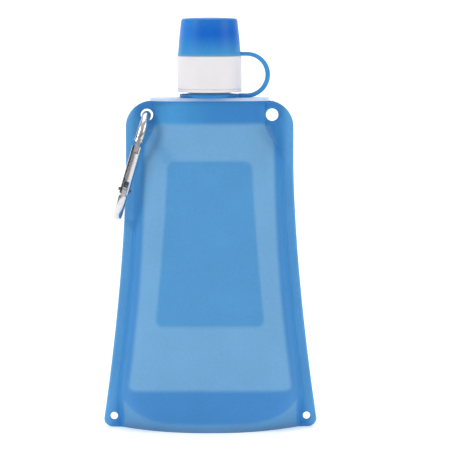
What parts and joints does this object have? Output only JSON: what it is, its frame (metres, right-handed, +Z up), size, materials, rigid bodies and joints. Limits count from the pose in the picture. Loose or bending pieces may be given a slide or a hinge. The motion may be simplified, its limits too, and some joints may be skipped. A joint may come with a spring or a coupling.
{
  "type": "folding water bottle",
  "caption": "Soft stand-up silicone pouch bottle with a flat border and eyelets, a hard threaded neck, a screw cap with a spout, a tethered dust cap and a spring-gate clip.",
  "frame": {"origin": "centre of the base's footprint, on the plane the skirt stands on", "axes": "+Z up through the neck, +X to the right across the pouch's width, front panel faces -Y"},
  "size_m": [0.1216, 0.044, 0.2332],
  "materials": {
    "blue_silicone": "frosted, translucent",
    "clear_white_plastic": "translucent satin",
    "seal_silicone": "matte",
    "white_plastic": "satin",
    "deep_blue_silicone": "smooth, translucent",
    "polished_aluminium": "polished",
    "steel": "bright"
  },
  "bodies": {
    "bottle": {"pouch_upper": "blue_silicone", "neck_insert": "clear_white_plastic"},
    "foot": {"pouch_lower": "blue_silicone", "pouch_floor": "blue_silicone", "border_left": "blue_silicone", "border_right": "blue_silicone"},
    "seal": {"cap_seal": "seal_silicone"},
    "cap": {"screw_cap": "white_plastic", "spout": "white_plastic"},
    "dust_cover": {"dust_cap": "deep_blue_silicone", "tether_strap": "deep_blue_silicone"},
    "neck_loop": {"tether_ring": "deep_blue_silicone"},
    "clip": {"carabiner_frame": "polished_aluminium", "gate_pin": "steel"},
    "gate": {"carabiner_gate": "polished_aluminium", "gate_spring": "steel", "gate_plunger": "steel"}
  },
  "joints": [
    {"name": "pouch_fold", "type": "hinge", "parent": "bottle", "child": "foot", "pos_m": [0, 0.01789, 0.092], "axis": [1, 0, 0], "range_deg": [0, 170], "stiffness_Nm_per_rad": 0.02},
    {"name": "cap_rise", "type": "slide", "parent": "bottle", "child": "seal", "axis": [0, 0, 1], "range_m": [0, 0.0073]},
    {"name": "cap_turn", "type": "hinge", "parent": "seal", "child": "cap", "pos_m": [0, 0, 0.2], "axis": [0, 0, 1], "range_deg": [0, 810]},
    {"name": "dust_cap_pull", "type": "slide", "parent": "cap", "child": "dust_cover", "axis": [0, 0, 1], "range_m": [0, 0.016]},
    {"name": "tether_stretch", "type": "slide", "parent": "dust_cover", "child": "neck_loop", "axis": [0, 0, 1], "range_m": [-0.016, 0], "deforming": ["tether_strap"]},
    {"name": "clip_swing", "type": "hinge", "parent": "bottle", "child": "clip", "pos_m": [-0.0354, 0, 0.1784], "axis": [0, 1, 0], "range_deg": [0, 140]},
    {"name": "gate_open", "type": "hinge", "parent": "clip", "child": "gate", "pos_m": [-0.04747, -0.0155, 0.13713], "axis": [-0.9598, 0, 0.2807], "range_deg": [0, 16], "stiffness_Nm_per_rad": 0.01, "springref_deg": -17.19}
  ],
  "couplings": [
    {"joint": "cap_rise", "follows": "cap_turn", "m_per_rad": 0.0005093},
    {"joint": "tether_stretch", "follows": "dust_cap_pull", "ratio": -1}
  ]
}
